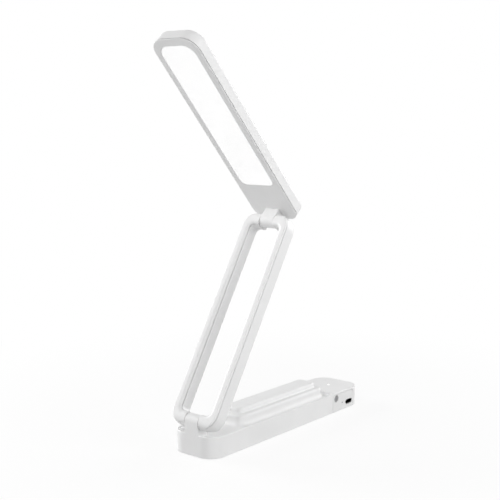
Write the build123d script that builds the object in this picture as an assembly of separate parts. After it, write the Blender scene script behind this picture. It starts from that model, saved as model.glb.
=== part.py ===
from build123d import *
import math
import os

# Folding desk lamp: a flat base, a two-bar arm and a long light head, which fold flat on
# each other like a Z. Millimetres. The origin is the middle of the base's underside, +Z is
# up, -X is the hinge end of the base and -Y is the side with the button and the socket.
# "Port side" means -Y and "far side" means +Y.

# ---------------------------------------------------------------- driving dimensions
# Base shell
base_length = 190.0
base_width = 41.6
base_corner_radius = 12.5
base_shell_height = 15.8
base_side_wall = 1.8
base_roof = 1.6
rim_width = 1.2
rim_edge_round = 0.5
rim_inner_round = 0.5
channel_depth = 2.3
channel_end_radius = 3.5
channel_foot_round = 1.0
end_block_length = 39.0
bottom_cover_thickness = 1.5
pad_stand_off = 0.5
pad_thickness = 1.1
pad_end_margin = 20.0
pad_side_margin = 7.8
pad_corner_radius = 6.0

# Hump over the battery, in two steps
hump_length = 104.5
hump_step_height = 8.3
hump_crest_inset = 3.75
hump_step_radius = 6.0
hump_crest_radius = 4.5
hump_edge_round = 2.2
hump_crest_foot_round = 1.4
hump_skirt_past_middle = 0.9
hump_skirt_flat = 0.5

# Touch key in the end block
dish_radius = 16.4
dish_depth = 0.5
dish_edge_margin = 0.8
touch_dot_diameter = 1.7
touch_dot_rise = 0.6
touch_electrode_diameter = 12.0
touch_electrode_thickness = 0.3
touch_spring_diameter = 6.0
touch_spring_wire = 0.6

# Battery, cradle and ballast
cell_diameter = 18.4
cell_length = 65.0
cell_end_gap = 8.15
ballast_thickness = 2.5
ballast_overhang = 6.0
ballast_width = 32.0
cradle_length = 50.0
cradle_width = 17.0
cradle_floor = 0.8
cradle_height = 4.0

# Port panel, button and socket, placed from the base's port end and the shell's lower edge
panel_end_inset = 11.5
panel_length = 29.4
panel_height = 14.2
panel_corner_radius = 3.0
panel_gap = 0.25
panel_flange_width = 1.5
panel_flange_thickness = 1.0
button_inset = 35.9
button_height = 10.8
button_diameter = 5.7
button_flange_width = 0.5
button_flange_thickness = 0.8
button_edge_round = 0.5
button_recess = 1.1
button_travel = 0.6
status_inset = 27.5
status_height = 5.9
status_diameter = 1.3
socket_inset = 17.9
socket_height = 5.0
socket_width = 8.94
socket_thickness = 3.2
socket_depth = 7.4
socket_sheet = 0.3
socket_recess = 0.5
socket_opening_gap = 0.45
tongue_width = 6.7
tongue_thickness = 0.7
tongue_length = 4.4

# Boards
board_thickness = 1.0
board_length = 31.0
board_width = 31.0
board_post_inset = 3.0
switch_length = 6.2
switch_depth = 4.0
switch_height = 4.2
plunger_diameter = 1.6
plunger_length = 1.0

# Hinges. The bolt's seat is the distance from the middle to the face under its head.
hinge_radius = 5.2
lug_width = 12.7
lug_side_gap = 0.4
bolt_diameter = 3.6
bolt_bore = 1.8
bolt_seat = 10.2
bolt_head_diameter = 6.2
bolt_head_height = 1.6
nut_across_flats = 5.5
nut_height = 1.6
washer_diameter = 8.0
washer_thickness = 0.6

# Arm
arm_angle = 57.9
arm_pivot_span = 163.0
arm_width = 41.6
arm_back_offset = 7.2
bar_width = 6.6
bar_wall = 1.5
arm_corner_radius = 12.0
arm_end_overhang = 0.6
arm_edge_round = 0.8
slot_corner_radius = 3.5
slot_front_round = 3.0
slot_back_round = 2.0
cover_thickness = 1.8
seam_gap = 0.5
tongue_rib = 0.6
tongue_rib_depth = 1.4

# Head
head_angle = 132.3
head_width = 41.5
head_reach = 171.3
head_heel = 5.8
head_depth = 10.8
head_far_radius = 12.0
head_heel_radius = 9.0
head_back_round = 2.6
head_wall = 1.5
head_seam_gap = 0.7
bezel_edge = 0.5
bezel_thickness = 1.4
bezel_lip = 0.8
bezel_edge_round = 0.3
diffuser_width = 31.1
diffuser_length = 134.2
diffuser_far_margin = 6.0
diffuser_far_radius = 9.0
diffuser_near_radius = 5.0
diffuser_thickness = 1.2
diffuser_flange = 1.2
diffuser_recess = 0.1
led_board_thickness = 1.0
led_board_margin = 3.0
led_rows = 2
led_columns = 14
led_length = 3.5
led_width = 2.8
led_height = 0.8
led_gap_to_diffuser = 2.0
bracket_foot_length = 20.0
bracket_foot_width = 16.0
bracket_foot_thickness = 2.0

# Screws and leads
screw_diameter = 2.5
screw_head_diameter = 4.6
screw_head_height = 1.2
small_screw_diameter = 2.0
small_screw_head_diameter = 3.4
small_screw_head_height = 0.9
base_screw_length = 8.0
small_screw_length = 4.5
boss_wall = 1.6
base_screw_hinge_inset = 13.0
base_screw_port_inset = 8.0
base_screw_hinge_side = 13.0
base_screw_port_side = 12.0
base_lead_turn = 18.0
lead_diameter = 1.2

# Clearances
fold_clearance = 1.4
head_clearance = 1.6
slot_clearance = 0.8
cover_clearance = 0.12
running_clearance = 0.05
button_clearance = 0.12
press_clearance = 0.1
cell_clearance = 0.9
lead_clearance = 0.3
plunger_clearance = 0.1
tolerance = 0.01

# ---------------------------------------------------------------- derived places
shell_bottom = pad_stand_off
rim_top = shell_bottom + base_shell_height
channel_floor = rim_top - channel_depth
cover_top = shell_bottom + bottom_cover_thickness
ballast_bottom = cover_top + press_clearance
cradle_bottom = ballast_bottom + ballast_thickness
cell_axis_z = cradle_bottom + cradle_floor + cell_diameter / 2
hump_top = cell_axis_z + cell_diameter / 2 + cell_clearance + base_roof
hump_step = channel_floor + hump_step_height

bar_inner = arm_width / 2 - bar_width
block_start = base_length / 2 - end_block_length
hump_half_width = bar_inner - slot_clearance
channel_side = base_width / 2 - rim_width - hump_half_width
hump_skirt_round = channel_side / 2 + hump_skirt_past_middle
hump_end = block_start - channel_foot_round - hump_skirt_flat - hump_skirt_round
hump_start = hump_end - hump_length
cell_centre_x = hump_start + hump_crest_inset + base_roof + cell_end_gap + cell_length / 2
step_chord = math.sqrt((cell_diameter / 2) ** 2 - (hump_step - base_roof - cell_axis_z) ** 2)
crest_half_width = step_chord + press_clearance + base_roof

dish_x = base_length / 2 - rim_width - dish_edge_margin / 2 - dish_radius
pad_length = base_length - 2 * pad_end_margin
pad_width = base_width - 2 * pad_side_margin
panel_face = -base_width / 2
panel_end = base_length / 2 - panel_end_inset
panel_start = panel_end - panel_length
button_x = base_length / 2 - button_inset
status_x = base_length / 2 - status_inset
socket_x = base_length / 2 - socket_inset
button_z = shell_bottom + button_height
status_z = shell_bottom + status_height
socket_z = shell_bottom + socket_height
board_bottom = socket_z + socket_thickness / 2
board_top = board_bottom + board_thickness
block_ceiling = rim_top - dish_depth - base_roof / 2

board_front = panel_face + base_side_wall + panel_flange_thickness + button_flange_thickness
board_front += button_travel + 2 * plunger_clearance

lower_pivot = (-base_length / 2 + hinge_radius, rim_top + arm_back_offset + fold_clearance)
upper_pivot = (
    lower_pivot[0] + arm_pivot_span * math.cos(math.radians(arm_angle)),
    lower_pivot[1] + arm_pivot_span * math.sin(math.radians(arm_angle)),
)
lug_half = lug_width / 2
stub_start = lug_half + lug_side_gap
bar_pocket_inner = bar_inner + bar_wall
bar_pocket_outer = arm_width / 2 - bar_wall
seam_level = hinge_radius - cover_thickness

face_level = -(arm_back_offset + head_clearance)
back_level = face_level - head_depth
shell_edge_level = face_level - bezel_edge - head_seam_gap
bezel_back = face_level - bezel_thickness
diffuser_back = bezel_back - press_clearance - diffuser_thickness
led_board_front = diffuser_back - led_gap_to_diffuser - led_height
led_board_back = led_board_front - led_board_thickness
foot_front = bezel_back - press_clearance
foot_back = foot_front - bracket_foot_thickness
foot_screw_seat = foot_front - small_screw_head_height
diffuser_end = head_reach - diffuser_far_margin
diffuser_start = diffuser_end - diffuser_length


# ---------------------------------------------------------------- shape helpers
def block(x0, x1, y0, y1, z0, z1):
    """A box given by its lowest and highest corners."""
    centre = Pos((x0 + x1) / 2, (y0 + y1) / 2, (z0 + z1) / 2)
    return centre * Box(x1 - x0, y1 - y0, z1 - z0)


def slab(x0, x1, width, radius, z0, z1):
    """A plate with rounded plan corners, centred on Y = 0."""
    outline = RectangleRounded(x1 - x0, width, radius)
    return Pos((x0 + x1) / 2, 0, z0) * extrude(outline, amount=z1 - z0)


def post(x, y, z0, z1, radius):
    """An upright round post."""
    return Pos(x, y, (z0 + z1) / 2) * Cylinder(radius, z1 - z0)


def pin(x, z, y0, y1, radius):
    """A round pin along Y."""
    return Pos(x, (y0 + y1) / 2, z) * Rot(90, 0, 0) * Cylinder(radius, y1 - y0)


def upper_edges(solid):
    return solid.edges().group_by(Axis.Z)[-1]


def lower_edges(solid):
    return solid.edges().group_by(Axis.Z)[0]


def level_edges(solid, level, x0, x1, half_width):
    """The edges at one level that lie inside a rectangle centred on Y = 0."""
    found = []
    for edge in solid.edges():
        box = edge.bounding_box()
        flat = abs(box.min.Z - level) < tolerance and abs(box.max.Z - level) < tolerance
        along = box.min.X > x0 - tolerance and box.max.X < x1 + tolerance
        if flat and along and max(-box.min.Y, box.max.Y) < half_width + tolerance:
            found.append(edge)
    return found


def lead(points, radii, diameter=lead_diameter):
    """A round lead along straight runs joined by tangent arcs."""
    path = FilletPolyline(*points, radius=radii)
    start = Plane(origin=path @ 0, z_dir=path % 0)
    return sweep(start * Circle(diameter / 2), path=path)


def on_arm(solid):
    """Carry a solid from the arm's flat frame to the lamp, unfolded."""
    return Pos(lower_pivot[0], 0, lower_pivot[1]) * Rot(0, -arm_angle, 0) * solid


def on_head(solid):
    """Carry a solid from the head's flat frame to the lamp, unfolded."""
    return Pos(upper_pivot[0], 0, upper_pivot[1]) * Rot(0, -head_angle, 0) * solid


# ---------------------------------------------------------------- base
def screw_places():
    hinge_x = -base_length / 2 + base_screw_hinge_inset
    port_x = base_length / 2 - base_screw_port_inset
    places = []
    for side in (-1, 1):
        places.append((hinge_x, side * base_screw_hinge_side))
        places.append((port_x, side * base_screw_port_side))
    return places


def board_post_places():
    """Two posts on the far edge of the board, and one between the button and the socket."""
    near = board_start() + board_post_inset
    far = board_start() + board_length - board_post_inset
    side = board_front + board_width - board_post_inset
    return [(near, side), (far, side), (status_x, board_front + 2 * board_post_inset)]


def board_start():
    return panel_start - panel_flange_width


def base_outside():
    half = base_length / 2
    body = slab(-half, half, base_width, base_corner_radius, shell_bottom, rim_top)
    body = fillet(upper_edges(body), rim_edge_round)
    channel = slab(
        -half + rim_width,
        half - rim_width,
        base_width - 2 * rim_width,
        base_corner_radius - rim_width,
        channel_floor,
        rim_top + 1,
    )
    squared_end = slab(
        -base_length,
        block_start,
        base_width - 2 * rim_width,
        channel_end_radius,
        channel_floor,
        rim_top + 1,
    )
    channel &= squared_end
    body -= fillet(lower_edges(channel), channel_foot_round)
    channel_half_width = base_width / 2 - rim_width
    lip = level_edges(body, rim_top, -half + rim_width, block_start, channel_half_width)
    body = fillet(lip, rim_inner_round)
    body += hump()
    skirt = level_edges(body, channel_floor, hump_start, hump_end, hump_half_width)
    return fillet(skirt, hump_skirt_round)


def hump():
    """The raised housing over the battery, in two soft steps."""
    step = slab(
        hump_start,
        hump_end,
        2 * hump_half_width,
        hump_step_radius,
        channel_floor - base_roof / 2,
        hump_step,
    )
    step = fillet(upper_edges(step), hump_edge_round)
    crest_start = hump_start + hump_crest_inset
    crest_end = hump_end - hump_crest_inset
    crest = slab(
        crest_start,
        crest_end,
        2 * crest_half_width,
        hump_crest_radius,
        channel_floor - base_roof / 2,
        hump_top,
    )
    crest = fillet(upper_edges(crest), hump_edge_round)
    body = step + crest
    foot = level_edges(body, hump_step, crest_start, crest_end, crest_half_width)
    return fillet(foot, hump_crest_foot_round)


def touch_dish():
    """The shallow round finger dish, a cap of a large sphere."""
    sphere_radius = (dish_radius ** 2 + dish_depth ** 2) / (2 * dish_depth)
    centre_z = rim_top - dish_depth + sphere_radius
    cap = Pos(dish_x, 0, centre_z) * Sphere(sphere_radius)
    return cap & post(dish_x, 0, rim_top - 2 * dish_depth, rim_top + dish_depth, dish_radius)


def base_hollow():
    half = base_length / 2
    wall = base_side_wall
    low = slab(
        -half + wall,
        half - wall,
        base_width - 2 * wall,
        base_corner_radius - wall,
        shell_bottom - 1,
        channel_floor - base_roof,
    )
    under_block = slab(
        block_start + wall,
        half - wall,
        base_width - 2 * wall,
        channel_end_radius,
        cover_top,
        block_ceiling,
    )
    under_block &= slab(
        -half + wall,
        half - wall,
        base_width - 2 * wall,
        base_corner_radius - wall,
        cover_top,
        block_ceiling,
    )
    step = slab(
        hump_start + base_roof,
        hump_end - base_roof,
        2 * (hump_half_width - base_roof),
        hump_step_radius - base_roof,
        cover_top,
        hump_step - base_roof,
    )
    crest = slab(
        hump_start + hump_crest_inset + base_roof,
        hump_end - hump_crest_inset - base_roof,
        2 * (crest_half_width - base_roof),
        hump_crest_radius - base_roof,
        cover_top,
        hump_top - base_roof,
    )
    return low + under_block + step + crest


def hinge_lug(pivot, foot_z):
    """An upright lug with a round top, bored for the hinge bolt."""
    x, z = pivot
    lug = pin(x, z, -lug_half, lug_half, hinge_radius)
    return lug + block(x - hinge_radius, x + hinge_radius, -lug_half, lug_half, foot_z, z)


def base_housing():
    body = base_outside() - touch_dish() - base_hollow()
    for x, y in screw_places():
        ceiling = block_ceiling if x > block_start else channel_floor - base_roof
        body += post(x, y, cover_top, ceiling + base_roof / 4, screw_diameter / 2 + boss_wall)
    for x, y in board_post_places():
        top = block_ceiling + base_roof / 4
        body += post(x, y, board_top, top, small_screw_diameter / 2 + boss_wall / 2)
    body += hinge_lug(lower_pivot, channel_floor - base_roof / 2)
    for x, y in screw_places():
        hole_top = cover_top + base_screw_length
        body -= post(x, y, shell_bottom, hole_top, screw_diameter / 2 - press_clearance)
    for x, y in board_post_places():
        hole_top = board_bottom + small_screw_length
        body -= post(x, y, board_bottom, hole_top, small_screw_diameter / 2 - press_clearance)
    x, z = lower_pivot
    body -= pin(x, z, -base_width, base_width, bolt_diameter / 2 + running_clearance)
    body -= post(x, 0, cover_top, z, lead_diameter / 2 + lead_clearance)
    body -= panel_plate(panel_gap)
    inner = panel_face + base_side_wall
    pocket_radius = button_diameter / 2 + button_flange_width + button_clearance
    body -= pin(button_x, button_z, inner, board_front, pocket_radius)
    body -= post(dish_x, 0, block_ceiling - 1, rim_top, touch_dot_diameter / 2 + cover_clearance)
    return body


def base_bottom_cover():
    half = base_length / 2
    inset = base_side_wall + cover_clearance
    cover = slab(
        -half + inset,
        half - inset,
        base_width - 2 * inset,
        base_corner_radius - inset,
        shell_bottom,
        cover_top,
    )
    for x, y in screw_places():
        cover -= post(x, y, 0, cover_top + 1, screw_diameter / 2 + press_clearance)
        sink = shell_bottom + screw_head_height
        cover -= post(x, y, 0, sink, screw_head_diameter / 2 + press_clearance)
    seat = slab(
        -pad_length / 2 - cover_clearance,
        pad_length / 2 + cover_clearance,
        pad_width + 2 * cover_clearance,
        pad_corner_radius,
        0,
        pad_thickness,
    )
    return cover - seat


def anti_slip_pad():
    pad = slab(-pad_length / 2, pad_length / 2, pad_width, pad_corner_radius, 0, pad_thickness)
    return fillet(lower_edges(pad), pad_stand_off / 2)


def screw(x, y, head_z, length, diameter, head_diameter, head_height):
    """A pan-head screw that points up, with a cross recess in its head."""
    body = post(x, y, head_z, head_z + head_height, head_diameter / 2)
    body += post(x, y, head_z, head_z + head_height + length, diameter / 2)
    arm = head_diameter * 0.6
    slit = head_diameter * 0.14
    depth = head_height * 0.6
    body -= Pos(x, y, head_z + depth / 2) * Box(arm, slit, depth)
    body -= Pos(x, y, head_z + depth / 2) * Box(slit, arm, depth)
    return body


def base_screws():
    solids = []
    thread = screw_diameter - 2 * press_clearance
    for x, y in screw_places():
        length = base_screw_length - screw_head_height
        solids.append(
            screw(x, y, shell_bottom, length, thread, screw_head_diameter, screw_head_height)
        )
    return Compound(children=solids)


def ballast_plate():
    start = hump_start - ballast_overhang
    end = hump_end + ballast_overhang
    top = ballast_bottom + ballast_thickness
    return slab(start, end, ballast_width, hump_step_radius, ballast_bottom, top)


def battery_cell():
    half = cell_length / 2
    cell = Pos(cell_centre_x, 0, cell_axis_z) * Rot(0, 90, 0) * Cylinder(cell_diameter / 2, cell_length)
    cell = fillet(cell.edges(), press_clearance * 5)
    stud = Rot(0, 90, 0) * Cylinder(cell_diameter / 6, cell_clearance * 2)
    return cell + Pos(cell_centre_x + half, 0, cell_axis_z) * stud


def battery_cradle():
    x0 = cell_centre_x - cradle_length / 2
    x1 = cell_centre_x + cradle_length / 2
    side = cradle_width / 2
    cradle = block(x0, x1, -side, side, cradle_bottom, cradle_bottom + cradle_height)
    seat = Rot(0, 90, 0) * Cylinder(cell_diameter / 2 + running_clearance, cradle_length + 2)
    return cradle - Pos(cell_centre_x, 0, cell_axis_z) * seat


# ---------------------------------------------------------------- port end
def panel_plate(grow):
    """The flush panel's outline, grown for the opening that takes it."""
    x0 = panel_start - grow
    x1 = panel_end + grow
    top = shell_bottom + panel_height + grow
    outline = Rectangle(x1 - x0, top - shell_bottom)
    outline = fillet(outline.vertices().group_by(Axis.Y)[-1], panel_corner_radius)
    plate = Rot(90, 0, 0) * extrude(outline, amount=base_side_wall + 2 * grow)
    return Pos((x0 + x1) / 2, panel_face + base_side_wall + grow, (top + shell_bottom) / 2) * plate


def socket_outline(grow):
    return SlotOverall(socket_width + 2 * grow, socket_thickness + 2 * grow)


def socket_prism(grow, y0, y1):
    prism = Rot(90, 0, 0) * extrude(socket_outline(grow), amount=y1 - y0)
    return Pos(socket_x, y1, socket_z) * prism


def port_panel():
    panel = panel_plate(0) & base_envelope()
    inner = panel_face + base_side_wall
    flange = block(
        panel_start - panel_flange_width,
        panel_end - panel_flange_width,
        inner,
        inner + panel_flange_thickness,
        cover_top + cover_clearance,
        shell_bottom + panel_height - panel_corner_radius,
    )
    panel += flange
    outside = panel_face - 1
    inside = inner + panel_flange_thickness + 1
    panel -= pin(button_x, button_z, outside, inside, button_diameter / 2 + button_clearance)
    panel -= pin(status_x, status_z, outside, inside, status_diameter / 2 + press_clearance)
    return panel - socket_prism(socket_opening_gap, outside, inside)


def base_envelope():
    half = base_length / 2
    return slab(-half, half, base_width, base_corner_radius, shell_bottom, rim_top)


def button_back():
    """The Y of the flange's inner face, with the button out."""
    inner = panel_face + base_side_wall + panel_flange_thickness
    return inner + plunger_clearance + button_flange_thickness


def power_button():
    face = panel_face + button_recess
    cap = pin(button_x, button_z, face, button_back(), button_diameter / 2)
    cap = fillet(cap.edges().group_by(Axis.Y)[0], button_edge_round)
    flange_face = button_back() - button_flange_thickness
    flange_radius = button_diameter / 2 + button_flange_width
    return cap + pin(button_x, button_z, flange_face, button_back(), flange_radius)


def button_switch():
    tip = board_front
    face = tip + plunger_length
    half = switch_length / 2
    body = block(
        button_x - half,
        button_x + half,
        face,
        face + switch_depth,
        board_top,
        board_top + switch_height,
    )
    return body + pin(button_x, button_z, tip, face, plunger_diameter / 2)


def status_light_pipe():
    face = panel_face + press_clearance
    end = panel_face + base_side_wall + panel_flange_thickness * 2
    return pin(status_x, status_z, face, end, status_diameter / 2)


def socket_shell():
    start = panel_face + socket_recess
    shell = socket_prism(0, start, start + socket_depth)
    return shell - socket_prism(-socket_sheet, start - 1, start + socket_depth - socket_sheet)


def socket_tongue():
    end = panel_face + socket_recess + socket_depth - socket_sheet
    half = tongue_width / 2
    thick = tongue_thickness / 2
    start = end - tongue_length
    blade = block(socket_x - half, socket_x + half, start, end, socket_z - thick, socket_z + thick)
    core = socket_prism(-socket_sheet, end - tongue_length / 4, end)
    return blade + core


def main_board():
    x0 = board_start()
    x1 = x0 + board_length
    board = block(x0, x1, board_front, board_front + board_width, board_bottom, board_top)
    for x, y in board_post_places():
        board -= post(x, y, 0, rim_top, small_screw_diameter / 2 + press_clearance)
    return board


def board_screws():
    solids = []
    thread = small_screw_diameter - 2 * press_clearance
    for x, y in board_post_places():
        head_z = board_bottom - small_screw_head_height
        solids.append(
            screw(
                x,
                y,
                head_z,
                small_screw_length - press_clearance,
                thread,
                small_screw_head_diameter,
                small_screw_head_height,
            )
        )
    return Compound(children=solids)


def touch_electrode():
    bottom = block_ceiling - touch_electrode_thickness
    disc = post(dish_x, 0, bottom, block_ceiling, touch_electrode_diameter / 2)
    return disc - post(dish_x, 0, bottom, block_ceiling, touch_dot_diameter / 2 + press_clearance)


def touch_spring():
    top = block_ceiling - touch_electrode_thickness
    radius = touch_spring_diameter / 2
    return post(dish_x, 0, board_top, top, radius) - post(
        dish_x, 0, board_top, top, radius - touch_spring_wire
    )


def touch_dot_pipe():
    top = rim_top - dish_depth + touch_dot_rise
    pipe = post(dish_x, 0, board_top + plunger_clearance, top, touch_dot_diameter / 2)
    return fillet(upper_edges(pipe), touch_dot_rise)


def battery_leads():
    """Two leads from the cell's end down to the board."""
    start = cell_centre_x + cell_length / 2
    end = board_start() + board_post_inset
    level = board_top + lead_diameter / 2
    third = (end - start) / 3
    solids = []
    for side in (-1, 1):
        y = side * cell_diameter / 3
        points = [
            (start, y, cell_axis_z),
            (start + third, y, cell_axis_z),
            (end - third, y, level),
            (end, y, level),
        ]
        solids.append(lead(points, [5 * lead_diameter, 5 * lead_diameter]))
    return Compound(children=solids)


def base_lead():
    """The lamp's lead, from the board along the far wall and up the lug to the bolt."""
    x, z = lower_pivot
    side = base_width / 2 - base_side_wall - 2 * lead_diameter
    level = cradle_bottom + lead_diameter
    far = x + base_lead_turn
    points = [
        (board_start() - board_post_inset, side, level),
        (far, side, level),
        (x, 0, level),
        (x, 0, z - bolt_diameter / 2 - lead_clearance),
    ]
    return lead(points, [4 * lead_diameter, 3 * lead_diameter])


# ---------------------------------------------------------------- hinge hardware
def hinge_bolt():
    """A hollow bolt through both stubs and the lug, with its head at the far side."""
    body = pin(0, 0, -bolt_seat - nut_height, bolt_seat, bolt_diameter / 2)
    body += pin(0, 0, bolt_seat, bolt_seat + bolt_head_height, bolt_head_diameter / 2)
    reach = arm_width
    return body - pin(0, 0, -reach, reach, bolt_bore / 2)


def hinge_nut():
    hexagon = RegularPolygon(nut_across_flats / 2, 6, major_radius=False)
    nut = Rot(90, 0, 0) * extrude(hexagon, amount=nut_height)
    nut = Pos(0, -bolt_seat, 0) * nut
    return nut - pin(0, 0, -arm_width, 0, bolt_diameter / 2 + running_clearance)


def friction_washers():
    solids = []
    for side in (-1, 1):
        inner = side * (stub_start + washer_recess() - washer_thickness)
        outer = side * (stub_start + washer_recess())
        low = min(inner, outer)
        high = max(inner, outer)
        ring = pin(0, 0, low, high, washer_diameter / 2)
        solids.append(ring - pin(0, 0, low, high, bolt_diameter / 2 + running_clearance))
    return Compound(children=solids)


def washer_recess():
    return washer_thickness + plunger_clearance - lug_side_gap


def moved_to_upper_pivot(solid):
    return Pos(arm_pivot_span, 0, 0) * solid


# ---------------------------------------------------------------- arm
def arm_side_profile():
    """The arm seen from the side: round ends about both pivots, deeper at the back."""
    profile = Rectangle(arm_pivot_span, hinge_radius + arm_back_offset)
    profile = Pos(arm_pivot_span / 2, (hinge_radius - arm_back_offset) / 2) * profile
    back_half = Rectangle(4 * arm_back_offset, 2 * arm_back_offset)
    for x in (0, arm_pivot_span):
        back = Pos(x, 0) * Ellipse(hinge_radius, arm_back_offset)
        profile += back & (Pos(x, -arm_back_offset) * back_half)
        profile += Pos(x, 0) * Circle(hinge_radius)
    solid = Rot(90, 0, 0) * extrude(profile, amount=arm_width)
    return Pos(0, arm_width / 2, 0) * solid


def arm_plan(margin, overhang=0):
    """The arm's outline in plan, drawn in by a margin, as a thick plate.

    The overhang runs past the round ends, so that they meet the corners at an angle.
    """
    reach = hinge_radius - margin + overhang
    return slab(
        -reach,
        arm_pivot_span + reach,
        arm_width - 2 * margin,
        arm_corner_radius - margin + overhang,
        -arm_back_offset,
        hinge_radius,
    )


def arm_ring():
    """Both bars and all four hinge stubs as one closed ring, like a bent tube."""
    ring = arm_plan(0, arm_end_overhang) & arm_side_profile()
    straight_half = arm_width / 2 - arm_corner_radius
    outer = [edge for edge in ring.edges() if abs(edge.center().Y) > straight_half / 2]
    ring = fillet(outer, arm_edge_round)
    slot_start = hinge_radius
    slot_end = arm_pivot_span - hinge_radius
    ring -= slab(slot_start, slot_end, 2 * bar_inner, slot_corner_radius, -arm_width, arm_width)
    front = level_edges(ring, hinge_radius, slot_start, slot_end, bar_inner)
    ring = fillet(front, slot_front_round)
    back = level_edges(ring, -arm_back_offset, slot_start, slot_end, bar_inner)
    return fillet(back, slot_back_round)


def arm_bar(side):
    """One bar with both its hinge stubs, solid. side is -1 at the port side."""
    reach = 2 * arm_pivot_span
    bar = arm_ring() & block(-reach, reach, stub_start, arm_width, -arm_width, arm_width)
    if side < 0:
        bar = mirror(bar, about=Plane.XZ)
    return bar


def bar_pocket(side):
    """The space inside a bar for its lead and the cover's rib, and for the bolts' ends."""
    y0 = side * bar_pocket_inner
    y1 = side * bar_pocket_outer
    bottom = -arm_back_offset + bar_wall
    top = hinge_radius - bar_wall
    pocket = block(0, arm_pivot_span, min(y0, y1), max(y0, y1), bottom, top)
    y0 = side * bolt_seat
    radius = bolt_head_diameter / 2 + press_clearance
    for x in (0, arm_pivot_span):
        pocket += pin(x, 0, min(y0, y1), max(y0, y1), radius)
    return pocket & arm_plan(bar_wall)


def arm_rear_shell(side):
    reach = 2 * arm_pivot_span
    shell = arm_bar(side)
    shell &= block(-reach, reach, -reach, reach, -reach, seam_level - seam_gap / 2)
    shell -= bar_pocket(side)
    recess_face = stub_start + washer_recess()
    for move in (lambda solid: solid, moved_to_upper_pivot):
        shell -= move(pin(0, 0, -bolt_seat, bolt_seat, bolt_diameter / 2 + running_clearance))
        shell -= move(pin(0, 0, -recess_face, recess_face, washer_diameter / 2 + press_clearance))
    return shell


def arm_front_cover(side):
    """The cover over a bar's open front, with a rib that fits inside the shell."""
    reach = 2 * arm_pivot_span
    cover = arm_bar(side)
    cover &= block(-reach, reach, -reach, reach, seam_level + seam_gap / 2, reach)
    cover -= bar_pocket(side)
    recess_face = stub_start + washer_recess()
    for move in (lambda solid: solid, moved_to_upper_pivot):
        cover -= move(pin(0, 0, -recess_face, recess_face, washer_diameter / 2 + press_clearance))
    low = seam_level - tongue_rib_depth
    top = hinge_radius - bar_wall + press_clearance
    start = bolt_head_diameter
    outer = rib_block(side, start, press_clearance, low, top)
    inner = rib_block(side, start, press_clearance + tongue_rib, low - 1, top - press_clearance)
    return cover + (outer - inner)


def rib_block(side, start, inset, low, top):
    y0 = side * (bar_pocket_inner + inset)
    y1 = side * (bar_pocket_outer - inset)
    x0 = start + inset
    x1 = arm_pivot_span - start - inset
    return block(x0, x1, min(y0, y1), max(y0, y1), low, top)


def arm_lead():
    """The lead inside the port-side bar, from one hollow bolt to the other."""
    mouth = -(bolt_seat + nut_height)
    side = -(bar_pocket_inner + lead_diameter / 2 + press_clearance)
    points = [
        (0, mouth / 2, 0),
        (0, side, 0),
        (arm_pivot_span, side, 0),
        (arm_pivot_span, mouth / 2, 0),
    ]
    return lead(points, [lead_diameter, lead_diameter])


# ---------------------------------------------------------------- head
def head_plan(margin):
    """The head's outline in plan, drawn in by a margin."""
    length = head_reach + head_heel - 2 * margin
    outline = Pos((head_reach - head_heel) / 2, 0) * Rectangle(length, head_width - 2 * margin)
    outline = fillet(outline.vertices().group_by(Axis.X)[-1], head_far_radius - margin)
    return fillet(outline.vertices().group_by(Axis.X)[0], head_heel_radius - margin)


def diffuser_plan(grow):
    length = diffuser_length + 2 * grow
    middle = (diffuser_start + diffuser_end) / 2
    outline = Pos(middle, 0) * Rectangle(length, diffuser_width + 2 * grow)
    outline = fillet(outline.vertices().group_by(Axis.X)[-1], diffuser_far_radius + grow)
    return fillet(outline.vertices().group_by(Axis.X)[0], diffuser_near_radius + grow)


def raised(outline, z0, z1):
    return Pos(0, 0, z0) * extrude(outline, amount=z1 - z0)


def led_screw_places():
    """Screws through the two end margins of the light board."""
    inset = led_board_margin / 2
    return [
        (diffuser_start + inset, 0),
        (diffuser_end - inset, 0),
    ]


def bracket_screw_places():
    x = bracket_foot_length - hinge_radius - small_screw_head_diameter
    side = bracket_foot_width / 2 - small_screw_head_diameter / 2
    return [(x, -side), (x, side)]


def head_back_shell():
    shell = raised(head_plan(0), back_level, shell_edge_level)
    shell = fillet(lower_edges(shell), head_back_round)
    shell -= raised(head_plan(head_wall), back_level + head_wall, face_level)
    radius = small_screw_diameter / 2 + boss_wall / 2
    for x, y in led_screw_places():
        shell += post(x, y, back_level + head_wall / 2, led_board_back, radius)
    for x, y in bracket_screw_places():
        shell += post(x, y, back_level + head_wall / 2, foot_back, radius)
    hole = small_screw_diameter / 2 - press_clearance
    for x, y in led_screw_places():
        shell -= post(x, y, led_board_front - small_screw_length, led_board_front, hole)
    for x, y in bracket_screw_places():
        shell -= post(x, y, foot_screw_seat - small_screw_length, foot_front, hole)
    return shell


def head_bezel():
    """The face frame: a thin edge over the shell, and a plate and lip inside it."""
    frame = raised(head_plan(0), face_level - bezel_edge, face_level)
    frame = fillet(upper_edges(frame), bezel_edge_round)
    inner = head_wall + cover_clearance
    plate = raised(head_plan(inner), bezel_back, face_level - bezel_edge / 2)
    lip = raised(head_plan(inner), bezel_back - bezel_lip, face_level - bezel_edge)
    lip -= raised(head_plan(inner + bezel_lip), back_level, face_level)
    frame = frame + plate + lip
    frame -= raised(diffuser_plan(press_clearance), back_level, face_level + 1)
    neck = hinge_radius + cover_clearance
    side = lug_half + cover_clearance
    frame -= block(-neck, neck, -side, side, back_level, face_level + 1)
    return frame


def diffuser_panel():
    """The milky window, with a flange that rests behind the bezel."""
    panel = raised(diffuser_plan(0), diffuser_back, face_level - diffuser_recess)
    flange_front = bezel_back - press_clearance
    return panel + raised(diffuser_plan(diffuser_flange), diffuser_back, flange_front)


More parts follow.
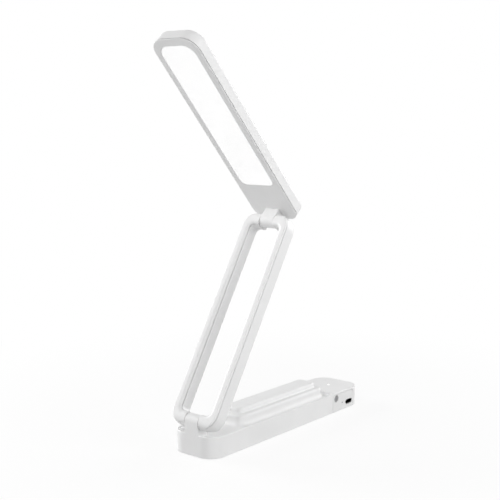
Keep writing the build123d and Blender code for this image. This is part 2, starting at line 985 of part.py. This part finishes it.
def light_board():
    half_width = diffuser_width / 2
    board = block(
        diffuser_start - led_board_margin / 2,
        diffuser_end,
        -half_width + led_board_margin,
        half_width - led_board_margin,
        led_board_back,
        led_board_front,
    )
    for x, y in led_screw_places():
        board -= post(x, y, back_level, face_level, small_screw_diameter / 2 + press_clearance)
    return board


def light_emitters():
    """Rows of surface-mounted emitters on the light board."""
    solids = []
    pitch = (diffuser_length - 4 * led_board_margin) / (led_columns - 1)
    row_pitch = diffuser_width / led_rows
    for row in range(led_rows):
        y = (row - (led_rows - 1) / 2) * row_pitch / 1.3
        for column in range(led_columns):
            x = diffuser_start + 2 * led_board_margin + column * pitch
            chip = block(
                x - led_length / 2,
                x + led_length / 2,
                y - led_width / 2,
                y + led_width / 2,
                led_board_front,
                led_board_front + led_height,
            )
            solids.append(chip)
    return Compound(children=solids)


def head_bracket():
    """The head's hinge lug, with a foot that is screwed inside the back shell."""
    bracket = pin(0, 0, -lug_half, lug_half, hinge_radius)
    bracket += block(-hinge_radius, hinge_radius, -lug_half, lug_half, face_level, 0)
    inside = head_plan(head_wall + cover_clearance + bezel_lip + press_clearance)
    neck = block(-hinge_radius, hinge_radius, -lug_half, lug_half, foot_back, face_level)
    bracket += neck & raised(inside, foot_back, face_level)
    foot = block(
        -hinge_radius,
        bracket_foot_length - hinge_radius,
        -bracket_foot_width / 2,
        bracket_foot_width / 2,
        foot_back,
        foot_front,
    )
    bracket += foot & raised(inside, foot_back, foot_front)
    for x, y in bracket_screw_places():
        bracket -= post(x, y, back_level, face_level, small_screw_diameter / 2 + press_clearance)
        sink = small_screw_head_diameter / 2 + press_clearance
        bracket -= post(x, y, foot_screw_seat, face_level, sink)
    bracket -= pin(0, 0, -arm_width, arm_width, bolt_diameter / 2 + running_clearance)
    return bracket - post(0, 0, back_level, 0, lead_diameter / 2 + lead_clearance)


def turned_screw(x, y, seat_z):
    """A small screw that points into the back shell, its head on a seat."""
    thread = small_screw_diameter - 2 * press_clearance
    upright = screw(
        0,
        0,
        -small_screw_head_height,
        small_screw_length - press_clearance,
        thread,
        small_screw_head_diameter,
        small_screw_head_height,
    )
    return Pos(x, y, seat_z) * Rot(180, 0, 0) * upright


def led_board_screws():
    solids = []
    for x, y in led_screw_places():
        solids.append(turned_screw(x, y, led_board_front))
    return Compound(children=solids)


def bracket_screws():
    solids = []
    for x, y in bracket_screw_places():
        solids.append(turned_screw(x, y, foot_screw_seat))
    return Compound(children=solids)


def head_lead():
    """The lead from the bracket's hole, under the foot, to the light board."""
    level = led_board_back - lead_diameter / 2 - running_clearance
    end = diffuser_start + 4 * led_board_margin
    points = [
        (0, 0, -bolt_diameter / 2 - lead_clearance),
        (0, 0, level),
        (bracket_foot_length, 0, level),
        (end, 2 * led_board_margin, level),
    ]
    return lead(points, [2 * lead_diameter, 5 * lead_diameter])


# ---------------------------------------------------------------- write the pieces
def pieces():
    result = {
        "base_housing": base_housing(),
        "base_bottom_cover": base_bottom_cover(),
        "anti_slip_pad": anti_slip_pad(),
        "base_screws": base_screws(),
        "ballast_plate": ballast_plate(),
        "battery_cell": battery_cell(),
        "battery_cradle": battery_cradle(),
        "battery_leads": battery_leads(),
        "base_lead": base_lead(),
        "port_panel": port_panel(),
        "power_button": power_button(),
        "button_switch": button_switch(),
        "status_light_pipe": status_light_pipe(),
        "socket_shell": socket_shell(),
        "socket_tongue": socket_tongue(),
        "main_board": main_board(),
        "board_screws": board_screws(),
        "touch_electrode": touch_electrode(),
        "touch_spring": touch_spring(),
        "touch_dot_pipe": touch_dot_pipe(),
        "arm_lead": on_arm(arm_lead()),
        "head_back_shell": on_head(head_back_shell()),
        "head_bezel": on_head(head_bezel()),
        "diffuser_panel": on_head(diffuser_panel()),
        "light_board": on_head(light_board()),
        "light_emitters": on_head(light_emitters()),
        "led_board_screws": on_head(led_board_screws()),
        "head_bracket": on_head(head_bracket()),
        "bracket_screws": on_head(bracket_screws()),
        "head_lead": on_head(head_lead()),
    }
    for word, side in (("port_side", -1), ("far_side", 1)):
        result["arm_rear_shell_" + word] = on_arm(arm_rear_shell(side))
        result["arm_front_cover_" + word] = on_arm(arm_front_cover(side))
    for word, move in (("lower", lambda solid: solid), ("upper", moved_to_upper_pivot)):
        result[word + "_hinge_bolt"] = on_arm(move(hinge_bolt()))
        result[word + "_hinge_nut"] = on_arm(move(hinge_nut()))
        result[word + "_friction_washers"] = on_arm(move(friction_washers()))
    return result


os.makedirs("parts", exist_ok=True)
for name, solid in pieces().items():
    export_step(solid, "parts/" + name + ".step")
print("lower pivot", lower_pivot, "upper pivot", upper_pivot)
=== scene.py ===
import math

import bpy
from mathutils import Matrix, Vector

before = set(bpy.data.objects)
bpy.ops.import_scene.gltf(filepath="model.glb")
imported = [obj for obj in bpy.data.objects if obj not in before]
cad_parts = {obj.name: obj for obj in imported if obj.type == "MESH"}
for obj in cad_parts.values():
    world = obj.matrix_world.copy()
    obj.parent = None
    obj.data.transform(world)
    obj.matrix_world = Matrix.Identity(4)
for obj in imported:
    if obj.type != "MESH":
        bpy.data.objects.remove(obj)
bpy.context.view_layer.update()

MM = 0.001

# The camera: place and near clip in metres, angles in degrees, lens and sensor in millimetres
CAMERA_PLACE = Vector((-0.61334, -0.48386, 0.25119))
CAMERA_AZIMUTH = -50.447
CAMERA_PITCH = 8.078
CAMERA_ROLL = -0.138
CAMERA_LENS = 73.112
SENSOR_WIDTH = 36.0
NEAR_CLIP = 0.01

# The studio, in metres. A softbox of level 1 lights a facing surface to its own colour.
SOFTBOX_DISTANCE = 1.6
SOFTBOX_SIZE = 1.0
SOFTBOX_AIM = Vector((-0.02, 0.0, 0.13))
SOFTBOXES = {
    "left_softbox": ((-0.24, 0.94, 0.25), 0.82),
    "right_rear_softbox": ((0.94, -0.22, 0.26), 0.40),
    "right_softbox": ((0.10, -0.95, 0.30), 0.45),
    "camera_side_softbox": ((-0.82, -0.28, 0.50), 0.34),
}
AMBIENT = 0.23
FLOOR_SIZE = 8.0
SHADOW_RADIUS = 0.1
WHITE_RADIUS = 0.4
WHITE_NEAR_LAMP = 0.85


# ---------------------------------------------------------------- node helpers
def linear(hex_colour):
    """An sRGB hex colour as the linear values that a socket takes."""
    values = [int(hex_colour[i:i + 2], 16) / 255 for i in (1, 3, 5)]
    values = [v / 12.92 if v <= 0.04045 else ((v + 0.055) / 1.055) ** 2.4 for v in values]
    return (*values, 1.0)


def add(tree, kind, inputs=None, **settings):
    """Add a node, set its settings, and set or link its inputs."""
    node = tree.nodes.new("ShaderNode" + kind)
    for name, value in settings.items():
        setattr(node, name, value)
    for name, value in (inputs or {}).items():
        if isinstance(value, bpy.types.NodeSocket):
            tree.links.new(value, node.inputs[name])
        else:
            node.inputs[name].default_value = value
    return node


def new_material(name):
    material = bpy.data.materials.new(name)
    material.use_nodes = True
    material.node_tree.nodes.clear()
    return material, material.node_tree


def finish_material(tree, shader):
    add(tree, "OutputMaterial", {"Surface": shader.outputs[0]})


def per_mm(size):
    """The scale that gives a texture features of this size in millimetres."""
    return 1.0 / (size * MM)


def two_tone(tree, factor, low, high):
    """A colour ramp between two hex colours, over the middle of a noise's range."""
    ramp = add(tree, "ValToRGB", {"Fac": factor})
    ramp.color_ramp.elements[0].position = 0.35
    ramp.color_ramp.elements[0].color = linear(low)
    ramp.color_ramp.elements[1].position = 0.65
    ramp.color_ramp.elements[1].color = linear(high)
    return ramp.outputs["Color"]


def value_range(tree, value, low, high):
    """Map a 0 to 1 value onto a range."""
    node = add(tree, "MapRange", {"Value": value, "To Min": low, "To Max": high})
    return node.outputs["Result"]


def seen_by_camera(tree):
    """1 for what the camera sees, directly or in a reflection or through something clear."""
    rays = add(tree, "LightPath").outputs
    seen = add(tree, "Math", {0: rays["Is Camera Ray"], 1: rays["Is Glossy Ray"]}, operation="MAXIMUM")
    inputs = {0: seen.outputs[0], 1: rays["Is Transmission Ray"]}
    return add(tree, "Math", inputs, operation="MAXIMUM").outputs[0]


# ---------------------------------------------------------------- materials
def moulded_abs(name, low, high, roughness, relief=0.02):
    """ABS or nylon from a spark-eroded mould: fine even grain, soft sheen, soft bright edges.

    The real grain is about 0.15 mm. It is drawn at 0.5 mm, the finest that the render shows.
    """
    material, tree = new_material(name)
    place = add(tree, "TexCoord").outputs["Object"]
    spark = add(tree, "TexNoise", {"Vector": place, "Scale": per_mm(0.5), "Detail": 3.0})
    flow = add(tree, "TexNoise", {"Vector": place, "Scale": per_mm(30.0), "Detail": 2.0})
    worn_edge = add(tree, "Bevel", {"Radius": 0.25 * MM}, samples=6)
    bump = add(
        tree,
        "Bump",
        {
            "Strength": 0.35,
            "Distance": relief * MM,
            "Height": spark.outputs["Fac"],
            "Normal": worn_edge.outputs["Normal"],
        },
    )
    shader = add(
        tree,
        "BsdfPrincipled",
        {
            "Base Color": two_tone(tree, flow.outputs["Fac"], low, high),
            "Roughness": value_range(tree, spark.outputs["Fac"], roughness - 0.05, roughness + 0.05),
            "IOR": 1.53,
            "Normal": bump.outputs["Normal"],
        },
    )
    finish_material(tree, shader)
    return material


def silicone_rubber():
    """Moulded silicone rubber: matt, a little dusty, with a fine even grain."""
    material, tree = new_material("moulded_silicone_rubber")
    place = add(tree, "TexCoord").outputs["Object"]
    dust = add(tree, "TexNoise", {"Vector": place, "Scale": per_mm(6.0), "Detail": 6.0})
    grain = add(tree, "TexNoise", {"Vector": place, "Scale": per_mm(0.4), "Detail": 2.0})
    bump = add(tree, "Bump", {"Strength": 0.5, "Distance": 0.04 * MM, "Height": grain.outputs["Fac"]})
    shader = add(
        tree,
        "BsdfPrincipled",
        {
            "Base Color": two_tone(tree, dust.outputs["Fac"], "#B9BABA", "#C6C7C7"),
            "Roughness": value_range(tree, dust.outputs["Fac"], 0.7, 0.85),
            "IOR": 1.41,
            "Normal": bump.outputs["Normal"],
        },
    )
    finish_material(tree, shader)
    return material


def worked_metal(name, low, high, roughness, grain=0.3):
    """Bare or plated metal, rolled or turned: a fine crystal grain that breaks up its shine."""
    material, tree = new_material(name)
    place = add(tree, "TexCoord").outputs["Object"]
    crystals = add(tree, "TexNoise", {"Vector": place, "Scale": per_mm(grain), "Detail": 4.0})
    bump = add(tree, "Bump", {"Strength": 0.3, "Distance": 0.01 * MM, "Height": crystals.outputs["Fac"]})
    shader = add(
        tree,
        "BsdfPrincipled",
        {
            "Base Color": two_tone(tree, crystals.outputs["Fac"], low, high),
            "Metallic": 1.0,
            "Roughness": value_range(tree, crystals.outputs["Fac"], roughness - 0.08, roughness + 0.08),
            "Normal": bump.outputs["Normal"],
        },
    )
    finish_material(tree, shader)
    return material


def milky_acrylic():
    """Opal acrylic: white all through, with a smooth skin. Its glow is painted light: it brightens the
    diffuser as light falling on it would, and puts a painted highlight on the touch dot.
    """
    material, tree = new_material("extruded_opal_acrylic")
    place = add(tree, "TexCoord").outputs["Object"]
    haze = add(tree, "TexNoise", {"Vector": place, "Scale": per_mm(25.0), "Detail": 2.0})
    skin = add(tree, "TexNoise", {"Vector": place, "Scale": per_mm(2.5), "Detail": 1.0})
    bump = add(tree, "Bump", {"Strength": 0.1, "Distance": 0.01 * MM, "Height": skin.outputs["Fac"]})
    shader = add(
        tree,
        "BsdfPrincipled",
        {
            "Base Color": two_tone(tree, haze.outputs["Fac"], "#F2F2F2", "#F6F6F6"),
            "Roughness": 0.3,
            "IOR": 1.49,
            # Painted light: this glow stands in for studio light on the diffuser and for the touch dot's
            # highlight.
            "Emission Color": linear("#FFFFFF"),
            "Emission Strength": 0.36,
            "Normal": bump.outputs["Normal"],
        },
    )
    finish_material(tree, shader)
    return material


def clear_acrylic():
    """Clear acrylic rod, polished at its end. Its grey colour is painted shade: the dark space behind
    it, as seen through the rod.
    """
    material, tree = new_material("polished_clear_acrylic")
    place = add(tree, "TexCoord").outputs["Object"]
    haze = add(tree, "TexNoise", {"Vector": place, "Scale": per_mm(1.0), "Detail": 2.0})
    shader = add(
        tree,
        "BsdfPrincipled",
        {
            # Painted shade: the grey stands in for the dark space seen through the rod.
            "Base Color": two_tone(tree, haze.outputs["Fac"], "#B4B6B8", "#C2C4C6"),
            "Roughness": value_range(tree, haze.outputs["Fac"], 0.08, 0.16),
            "IOR": 1.49,
            "Transmission Weight": 0.35,
        },
    )
    finish_material(tree, shader)
    return material


def solder_mask(name, low, high, trace):
    """A printed circuit board: glossy lacquer over faint raised copper tracks."""
    material, tree = new_material(name)
    place = add(tree, "TexCoord").outputs["Object"]
    weave = add(tree, "TexNoise", {"Vector": place, "Scale": per_mm(0.8), "Detail": 2.0})
    tracks = add(
        tree,
        "TexBrick",
        {
            "Vector": place,
            "Scale": per_mm(4.0),
            "Mortar Size": 0.04,
            "Color1": (0.0, 0.0, 0.0, 1.0),
            "Color2": (0.0, 0.0, 0.0, 1.0),
            "Mortar": (1.0, 1.0, 1.0, 1.0),
        },
    )
    lacquer = two_tone(tree, weave.outputs["Fac"], low, high)
    colour = add(
        tree,
        "MixRGB",
        {"Fac": tracks.outputs["Fac"], "Color1": lacquer, "Color2": linear(trace)},
    )
    bump = add(tree, "Bump", {"Strength": 0.4, "Distance": 0.03 * MM, "Height": tracks.outputs["Fac"]})
    shader = add(
        tree,
        "BsdfPrincipled",
        {
            "Base Color": colour.outputs["Color"],
            "Roughness": value_range(tree, weave.outputs["Fac"], 0.25, 0.4),
            "IOR": 1.55,
            "Normal": bump.outputs["Normal"],
        },
    )
    finish_material(tree, shader)
    return material


def extruded_vinyl(name, low, high):
    """Soft extruded vinyl over a lead or shrunk round a cell: slight sheen, faint ripples."""
    material, tree = new_material(name)
    place = add(tree, "TexCoord").outputs["Object"]
    ripple = add(tree, "TexNoise", {"Vector": place, "Scale": per_mm(3.0), "Detail": 2.0})
    bump = add(tree, "Bump", {"Strength": 0.25, "Distance": 0.05 * MM, "Height": ripple.outputs["Fac"]})
    shader = add(
        tree,
        "BsdfPrincipled",
        {
            "Base Color": two_tone(tree, ripple.outputs["Fac"], low, high),
            "Roughness": value_range(tree, ripple.outputs["Fac"], 0.35, 0.5),
            "IOR": 1.54,
            "Normal": bump.outputs["Normal"],
        },
    )
    finish_material(tree, shader)
    return material


def emitter_phosphor():
    """Silicone with yellow phosphor, moulded in the small light packages."""
    material, tree = new_material("phosphor_silicone")
    place = add(tree, "TexCoord").outputs["Object"]
    powder = add(tree, "TexNoise", {"Vector": place, "Scale": per_mm(0.3), "Detail": 2.0})
    shader = add(
        tree,
        "BsdfPrincipled",
        {
            "Base Color": two_tone(tree, powder.outputs["Fac"], "#E8D98A", "#F0E49C"),
            "Roughness": value_range(tree, powder.outputs["Fac"], 0.4, 0.55),
            "IOR": 1.41,
            "Emission Color": linear("#FFF6E0"),
            "Emission Strength": 0.6,
        },
    )
    finish_material(tree, shader)
    return material


WHITE_ABS = moulded_abs("spark_eroded_white_abs", "#EBEBEB", "#EEEEEE", 0.42)
PANEL_ABS = moulded_abs("fine_moulded_white_abs", "#E8E8E8", "#EBEBEB", 0.38, relief=0.012)
BUTTON_ABS = moulded_abs("moulded_grey_abs", "#8E8E90", "#969698", 0.28, relief=0.01)
DARK_ABS = moulded_abs("moulded_black_abs", "#17181A", "#1D1E20", 0.5)
TONGUE_NYLON = moulded_abs("glass_filled_grey_nylon", "#3A3A3C", "#424244", 0.45, relief=0.01)
RUBBER = silicone_rubber()
ZINC = worked_metal("zinc_plated_steel", "#B4B8BC", "#C8CCD0", 0.38, grain=0.6)
NICKEL = worked_metal("nickel_plated_steel", "#B9B5AC", "#CBC7BE", 0.28)
# The socket shell is painted dark: painted shade of the port's hollow, on what is bright plated steel.
SOCKET_SHADE_STEEL = worked_metal("steel_painted_dark_for_port_shade", "#2A2A2B", "#363637", 0.35)
BRONZE = worked_metal("phosphor_bronze", "#B0804A", "#C4935A", 0.35)
OPAL = milky_acrylic()
CLEAR = clear_acrylic()
MAIN_BOARD = solder_mask("green_solder_mask", "#0E4A2C", "#125434", "#2E7A4E")
LIGHT_BOARD = solder_mask("white_solder_mask_on_aluminium", "#E9EAEA", "#EFF0F0", "#DADBDB")
CELL_SLEEVE = extruded_vinyl("shrunk_blue_vinyl", "#2D5C93", "#34659E")
LEAD_VINYL = extruded_vinyl("extruded_white_vinyl", "#D5D5D3", "#DFDFDD")
PHOSPHOR = emitter_phosphor()

NODE_MATERIALS = {
    "base_housing": WHITE_ABS,
    "base_bottom_cover": WHITE_ABS,
    "anti_slip_pad": RUBBER,
    "base_screws": ZINC,
    "ballast_plate": ZINC,
    "battery_cell": CELL_SLEEVE,
    "battery_cradle": DARK_ABS,
    "battery_leads": LEAD_VINYL,
    "base_lead": LEAD_VINYL,
    "port_panel": PANEL_ABS,
    "power_button": BUTTON_ABS,
    "button_switch": DARK_ABS,
    "status_light_pipe": CLEAR,
    "socket_shell": SOCKET_SHADE_STEEL,
    "socket_tongue": TONGUE_NYLON,
    "main_board": MAIN_BOARD,
    "board_screws": ZINC,
    "touch_electrode": NICKEL,
    "touch_spring": NICKEL,
    # The touch dot takes the glowing opal: its white spot is a painted highlight.
    "touch_dot_pipe": OPAL,
    "arm_rear_shell_port_side": WHITE_ABS,
    "arm_front_cover_port_side": WHITE_ABS,
    "arm_rear_shell_far_side": WHITE_ABS,
    "arm_front_cover_far_side": WHITE_ABS,
    "arm_lead": LEAD_VINYL,
    "lower_hinge_bolt": NICKEL,
    "lower_hinge_nut": NICKEL,
    "lower_friction_washers": BRONZE,
    "upper_hinge_bolt": NICKEL,
    "upper_hinge_nut": NICKEL,
    "upper_friction_washers": BRONZE,
    "head_back_shell": WHITE_ABS,
    "head_bezel": WHITE_ABS,
    "diffuser_panel": OPAL,
    "light_board": LIGHT_BOARD,
    "light_emitters": PHOSPHOR,
    "led_board_screws": ZINC,
    "head_bracket": WHITE_ABS,
    "bracket_screws": ZINC,
    "head_lead": LEAD_VINYL,
}
for node_name, node_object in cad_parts.items():
    for place in range(len(node_object.material_slots)):
        node_object.material_slots[place].material = NODE_MATERIALS[node_name]


# ---------------------------------------------------------------- stage
def floor_material():
    """Pale matt paper. The camera sees it near white, with the lamp's soft shadow kept."""
    material, tree = new_material("pale_paper_floor")
    place = add(tree, "TexCoord").outputs["Object"]
    away = add(tree, "VectorMath", {0: place}, operation="LENGTH").outputs["Value"]
    limits = {"From Min": SHADOW_RADIUS, "From Max": WHITE_RADIUS, "To Min": WHITE_NEAR_LAMP}
    far = add(tree, "MapRange", {"Value": away, **limits}, interpolation_type="SMOOTHSTEP")
    seen = seen_by_camera(tree)
    share = add(tree, "Math", {0: seen, 1: far.outputs["Result"]}, operation="MULTIPLY")
    tones = {"Color1": linear("#CFCFCF"), "Color2": linear("#FFFFFF")}
    paper = add(tree, "MixRGB", {"Fac": seen, **tones})
    matt = add(tree, "BsdfDiffuse", {"Color": paper.outputs["Color"]})
    white = add(tree, "Emission", {"Color": linear("#FFFFFF"), "Strength": 1.0})
    layers = {"Fac": share.outputs[0], 1: matt.outputs[0], 2: white.outputs[0]}
    finish_material(tree, add(tree, "MixShader", layers))
    return material


def softbox(name, direction, level):
    """A square area light that stands in this direction from the lamp and faces it."""
    toward = Vector(direction).normalized()
    light = bpy.data.lights.new(name, "AREA")
    light.shape = "SQUARE"
    light.size = SOFTBOX_SIZE
    light.energy = level * math.pi ** 2 * SOFTBOX_DISTANCE ** 2
    lamp = bpy.data.objects.new(name, light)
    lamp.location = SOFTBOX_AIM + toward * SOFTBOX_DISTANCE
    lamp.rotation_euler = toward.to_track_quat("Z", "Y").to_euler()
    bpy.context.scene.collection.objects.link(lamp)


bpy.ops.object.select_all(action="DESELECT")
bpy.ops.mesh.primitive_plane_add(size=FLOOR_SIZE, location=(0.0, 0.0, 0.0))
floor = bpy.context.object
floor.name = "floor"
floor.data.materials.append(floor_material())

# The world is white to the camera and gives the lamp only a little even light
world = bpy.data.worlds.new("studio")
world.use_nodes = True
bpy.context.scene.world = world
studio = world.node_tree
studio.nodes.clear()
strength = value_range(studio, seen_by_camera(studio), AMBIENT, 1.0)
sky = add(studio, "Background", {"Color": linear("#FFFFFF"), "Strength": strength})
add(studio, "OutputWorld", {"Surface": sky.outputs[0]})

for box_name, (direction, level) in SOFTBOXES.items():
    softbox(box_name, direction, level)

# ---------------------------------------------------------------- camera
lens = bpy.data.cameras.new("camera")
lens.lens = CAMERA_LENS
lens.sensor_width = SENSOR_WIDTH
lens.clip_start = NEAR_CLIP
camera = bpy.data.objects.new("camera", lens)
turn = Matrix.Rotation(math.radians(CAMERA_AZIMUTH), 4, "Z")
turn = turn @ Matrix.Rotation(math.radians(90.0 - CAMERA_PITCH), 4, "X")
turn = turn @ Matrix.Rotation(math.radians(CAMERA_ROLL), 4, "Z")
camera.matrix_world = Matrix.Translation(CAMERA_PLACE) @ turn
bpy.context.scene.collection.objects.link(camera)
bpy.context.scene.camera = camera
bpy.context.scene.view_settings.view_transform = "Standard"
